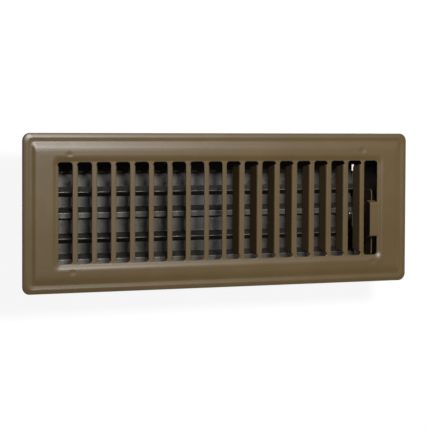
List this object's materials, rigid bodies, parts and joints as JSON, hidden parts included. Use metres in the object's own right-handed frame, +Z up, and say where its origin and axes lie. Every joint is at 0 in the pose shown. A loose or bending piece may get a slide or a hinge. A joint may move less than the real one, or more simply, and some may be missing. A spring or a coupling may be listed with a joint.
{
  "type": "floor register",
  "caption": "Stamped steel floor register: slotted faceplate with bent deflector fins over a damper box, whose two ribbed vanes turn together when the thumb tab is pushed.",
  "frame": {"origin": "under the middle of the face, level with the bottom edges of the damper box's end walls", "axes": "+X along the register towards the thumb tab, +Y across it, +Z up out of the face"},
  "size_m": [0.3938, 0.1396, 0.0622],
  "materials": {
    "brown_paint": "satin baked brown enamel",
    "zinc_sheet": "dull dark galvanised sheet",
    "rivet_steel": "plain zinc-plated rivets"
  },
  "bodies": {
    "housing": {"faceplate": "brown_paint", "upper_side_wall": "zinc_sheet", "lower_side_wall": "zinc_sheet", "left_end_wall": "zinc_sheet", "right_end_wall": "zinc_sheet", "pivot_rivets": "rivet_steel"},
    "upper_damper": {"upper_vane": "zinc_sheet", "upper_link_rivet": "rivet_steel"},
    "lower_damper": {"lower_vane": "zinc_sheet", "lower_link_rivet": "rivet_steel"},
    "link": {"link_bar": "brown_paint"}
  },
  "joints": [
    {"name": "upper_vane_pivot", "type": "hinge", "parent": "housing", "child": "upper_damper", "pos_m": [0, 0.01425, 0.023], "axis": [-1, 0, 0], "range_deg": [0, 85]},
    {"name": "lower_vane_pivot", "type": "hinge", "parent": "housing", "child": "lower_damper", "pos_m": [0, -0.02725, 0.023], "axis": [-1, 0, 0], "range_deg": [0, 85]},
    {"name": "link_pivot", "type": "hinge", "parent": "upper_damper", "child": "link", "pos_m": [0.1618, 0.00364, 0.03361], "axis": [-1, 0, 0], "range_deg": [-85, 0]}
  ],
  "couplings": [
    {"joint": "lower_vane_pivot", "follows": "upper_vane_pivot", "ratio": 1},
    {"joint": "link_pivot", "follows": "upper_vane_pivot", "ratio": -1}
  ]
}
